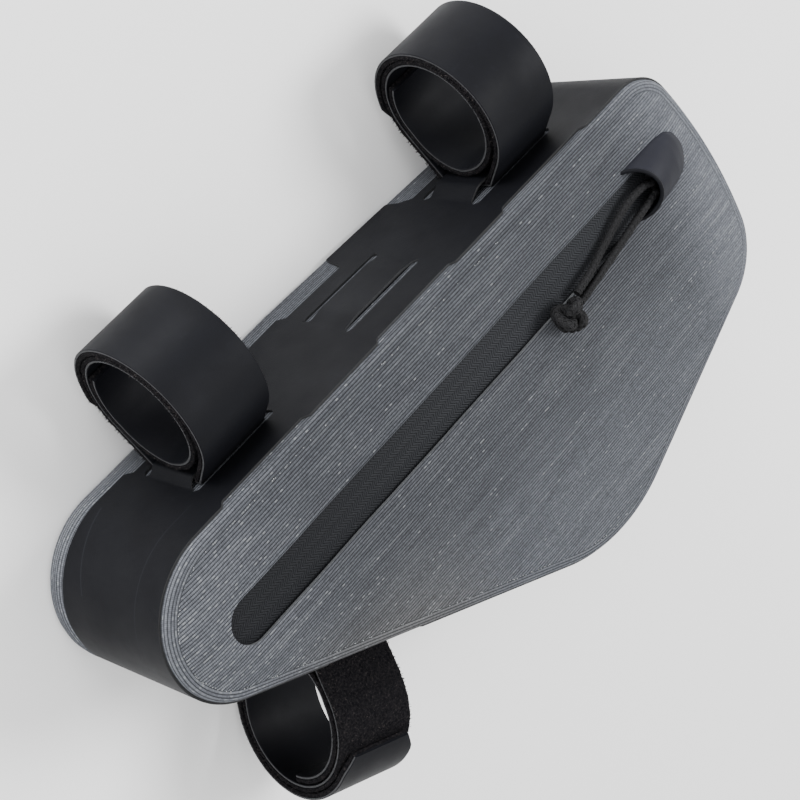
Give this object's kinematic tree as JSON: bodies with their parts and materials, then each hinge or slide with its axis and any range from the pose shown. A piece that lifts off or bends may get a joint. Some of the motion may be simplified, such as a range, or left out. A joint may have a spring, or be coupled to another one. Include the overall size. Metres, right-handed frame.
{
  "type": "bicycle frame bag",
  "caption": "Half-frame bicycle bag with a hooded zip in one flat side, a rubber band round its rim and hook-and-loop straps wound into loops for the frame tubes.",
  "frame": {"origin": "under the middle of the whole object's bounding box, on the outer face of the plain side that the bag lies on", "axes": "+X along the bag's top edge from the nose to the tail, +Y from the bag towards the top tube, +Z out of the zip side"},
  "size_m": [0.2802, 0.1906, 0.0723],
  "materials": {
    "grey_fabric": "grey woven pack cloth with fine ribs along the top edge, matte",
    "plain_fabric": "the same grey ribbed cloth on the side without a zip, matte",
    "band_rubber": "smooth matte black coated sheet with a fine grain",
    "strap_webbing": "black hook-and-loop strap, smooth rubber on one face and fuzzy on the other",
    "zip_tape": "black zip tape with a thin matte waterproof coating",
    "slider_metal": "dark painted zip slider",
    "hood_rubber": "moulded black rubber, slightly lighter than the band",
    "cord_braid": "black braided cord"
  },
  "bodies": {
    "root": {"gusset": "grey_fabric", "zip_side_panel": "grey_fabric", "plain_side_panel": "plain_fabric", "rim_band": "band_rubber", "strap_nose": "strap_webbing", "strap_tail": "strap_webbing", "strap_bottom": "strap_webbing", "zip_tape_upper": "zip_tape", "zip_tape_lower": "zip_tape", "zip_slider": "slider_metal", "zip_hood": "hood_rubber", "pull_cord_upper": "cord_braid", "pull_cord_lower": "cord_braid", "pull_knot": "cord_braid"}
  },
  "joints": []
}
